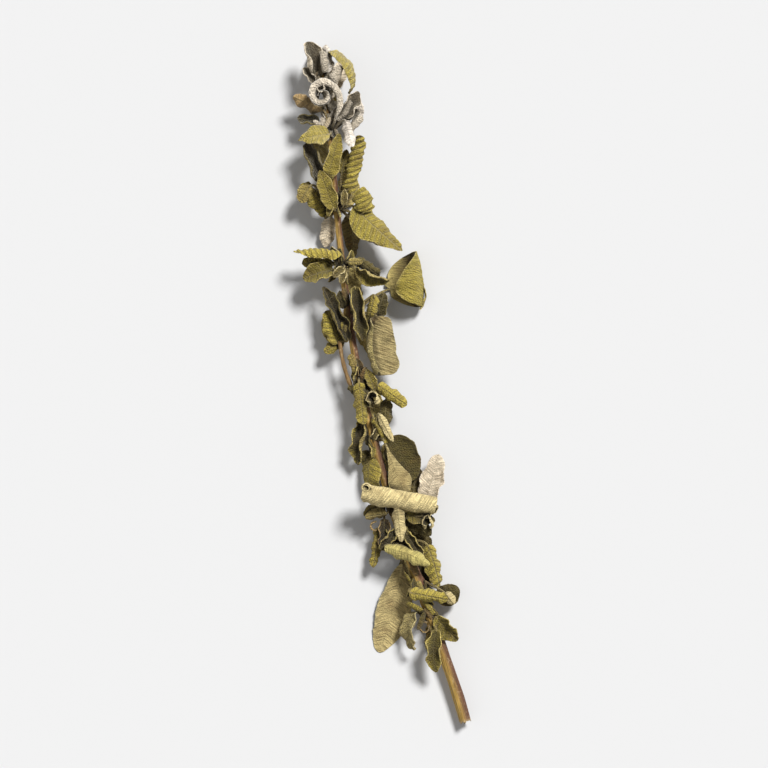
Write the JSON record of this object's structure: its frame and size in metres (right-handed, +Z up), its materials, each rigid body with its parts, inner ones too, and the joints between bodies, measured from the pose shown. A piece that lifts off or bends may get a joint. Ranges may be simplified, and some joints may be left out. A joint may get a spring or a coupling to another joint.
{
  "type": "dried sage stem",
  "caption": "Cut and dried leafy stem of common sage lying on its side, with curled, puckered leaves in whorls along a slender woody stem.",
  "frame": {"origin": "on the surface that the stem lies on, below the middle of the stem's outline as seen from above", "axes": "+Y along the stem from its cut end to its tip, +Z up from the surface"},
  "size_m": [0.0514, 0.2829, 0.0227],
  "materials": {
    "wood": "matt, dry bark",
    "green_leaf": "felted dry leaf",
    "grey_leaf": "felted, woolly young leaf"
  },
  "bodies": {
    "root": {"woody_stem": "wood", "whorl_01_lowest": "green_leaf", "whorl_02": "green_leaf", "whorl_03": "green_leaf", "whorl_04": "green_leaf", "whorl_05": "green_leaf", "whorl_06": "green_leaf", "whorl_07": "green_leaf", "whorl_08": "green_leaf", "whorl_09": "green_leaf", "side_shoot": "green_leaf", "whorl_10": "grey_leaf", "tip_tuft": "grey_leaf"}
  },
  "joints": []
}
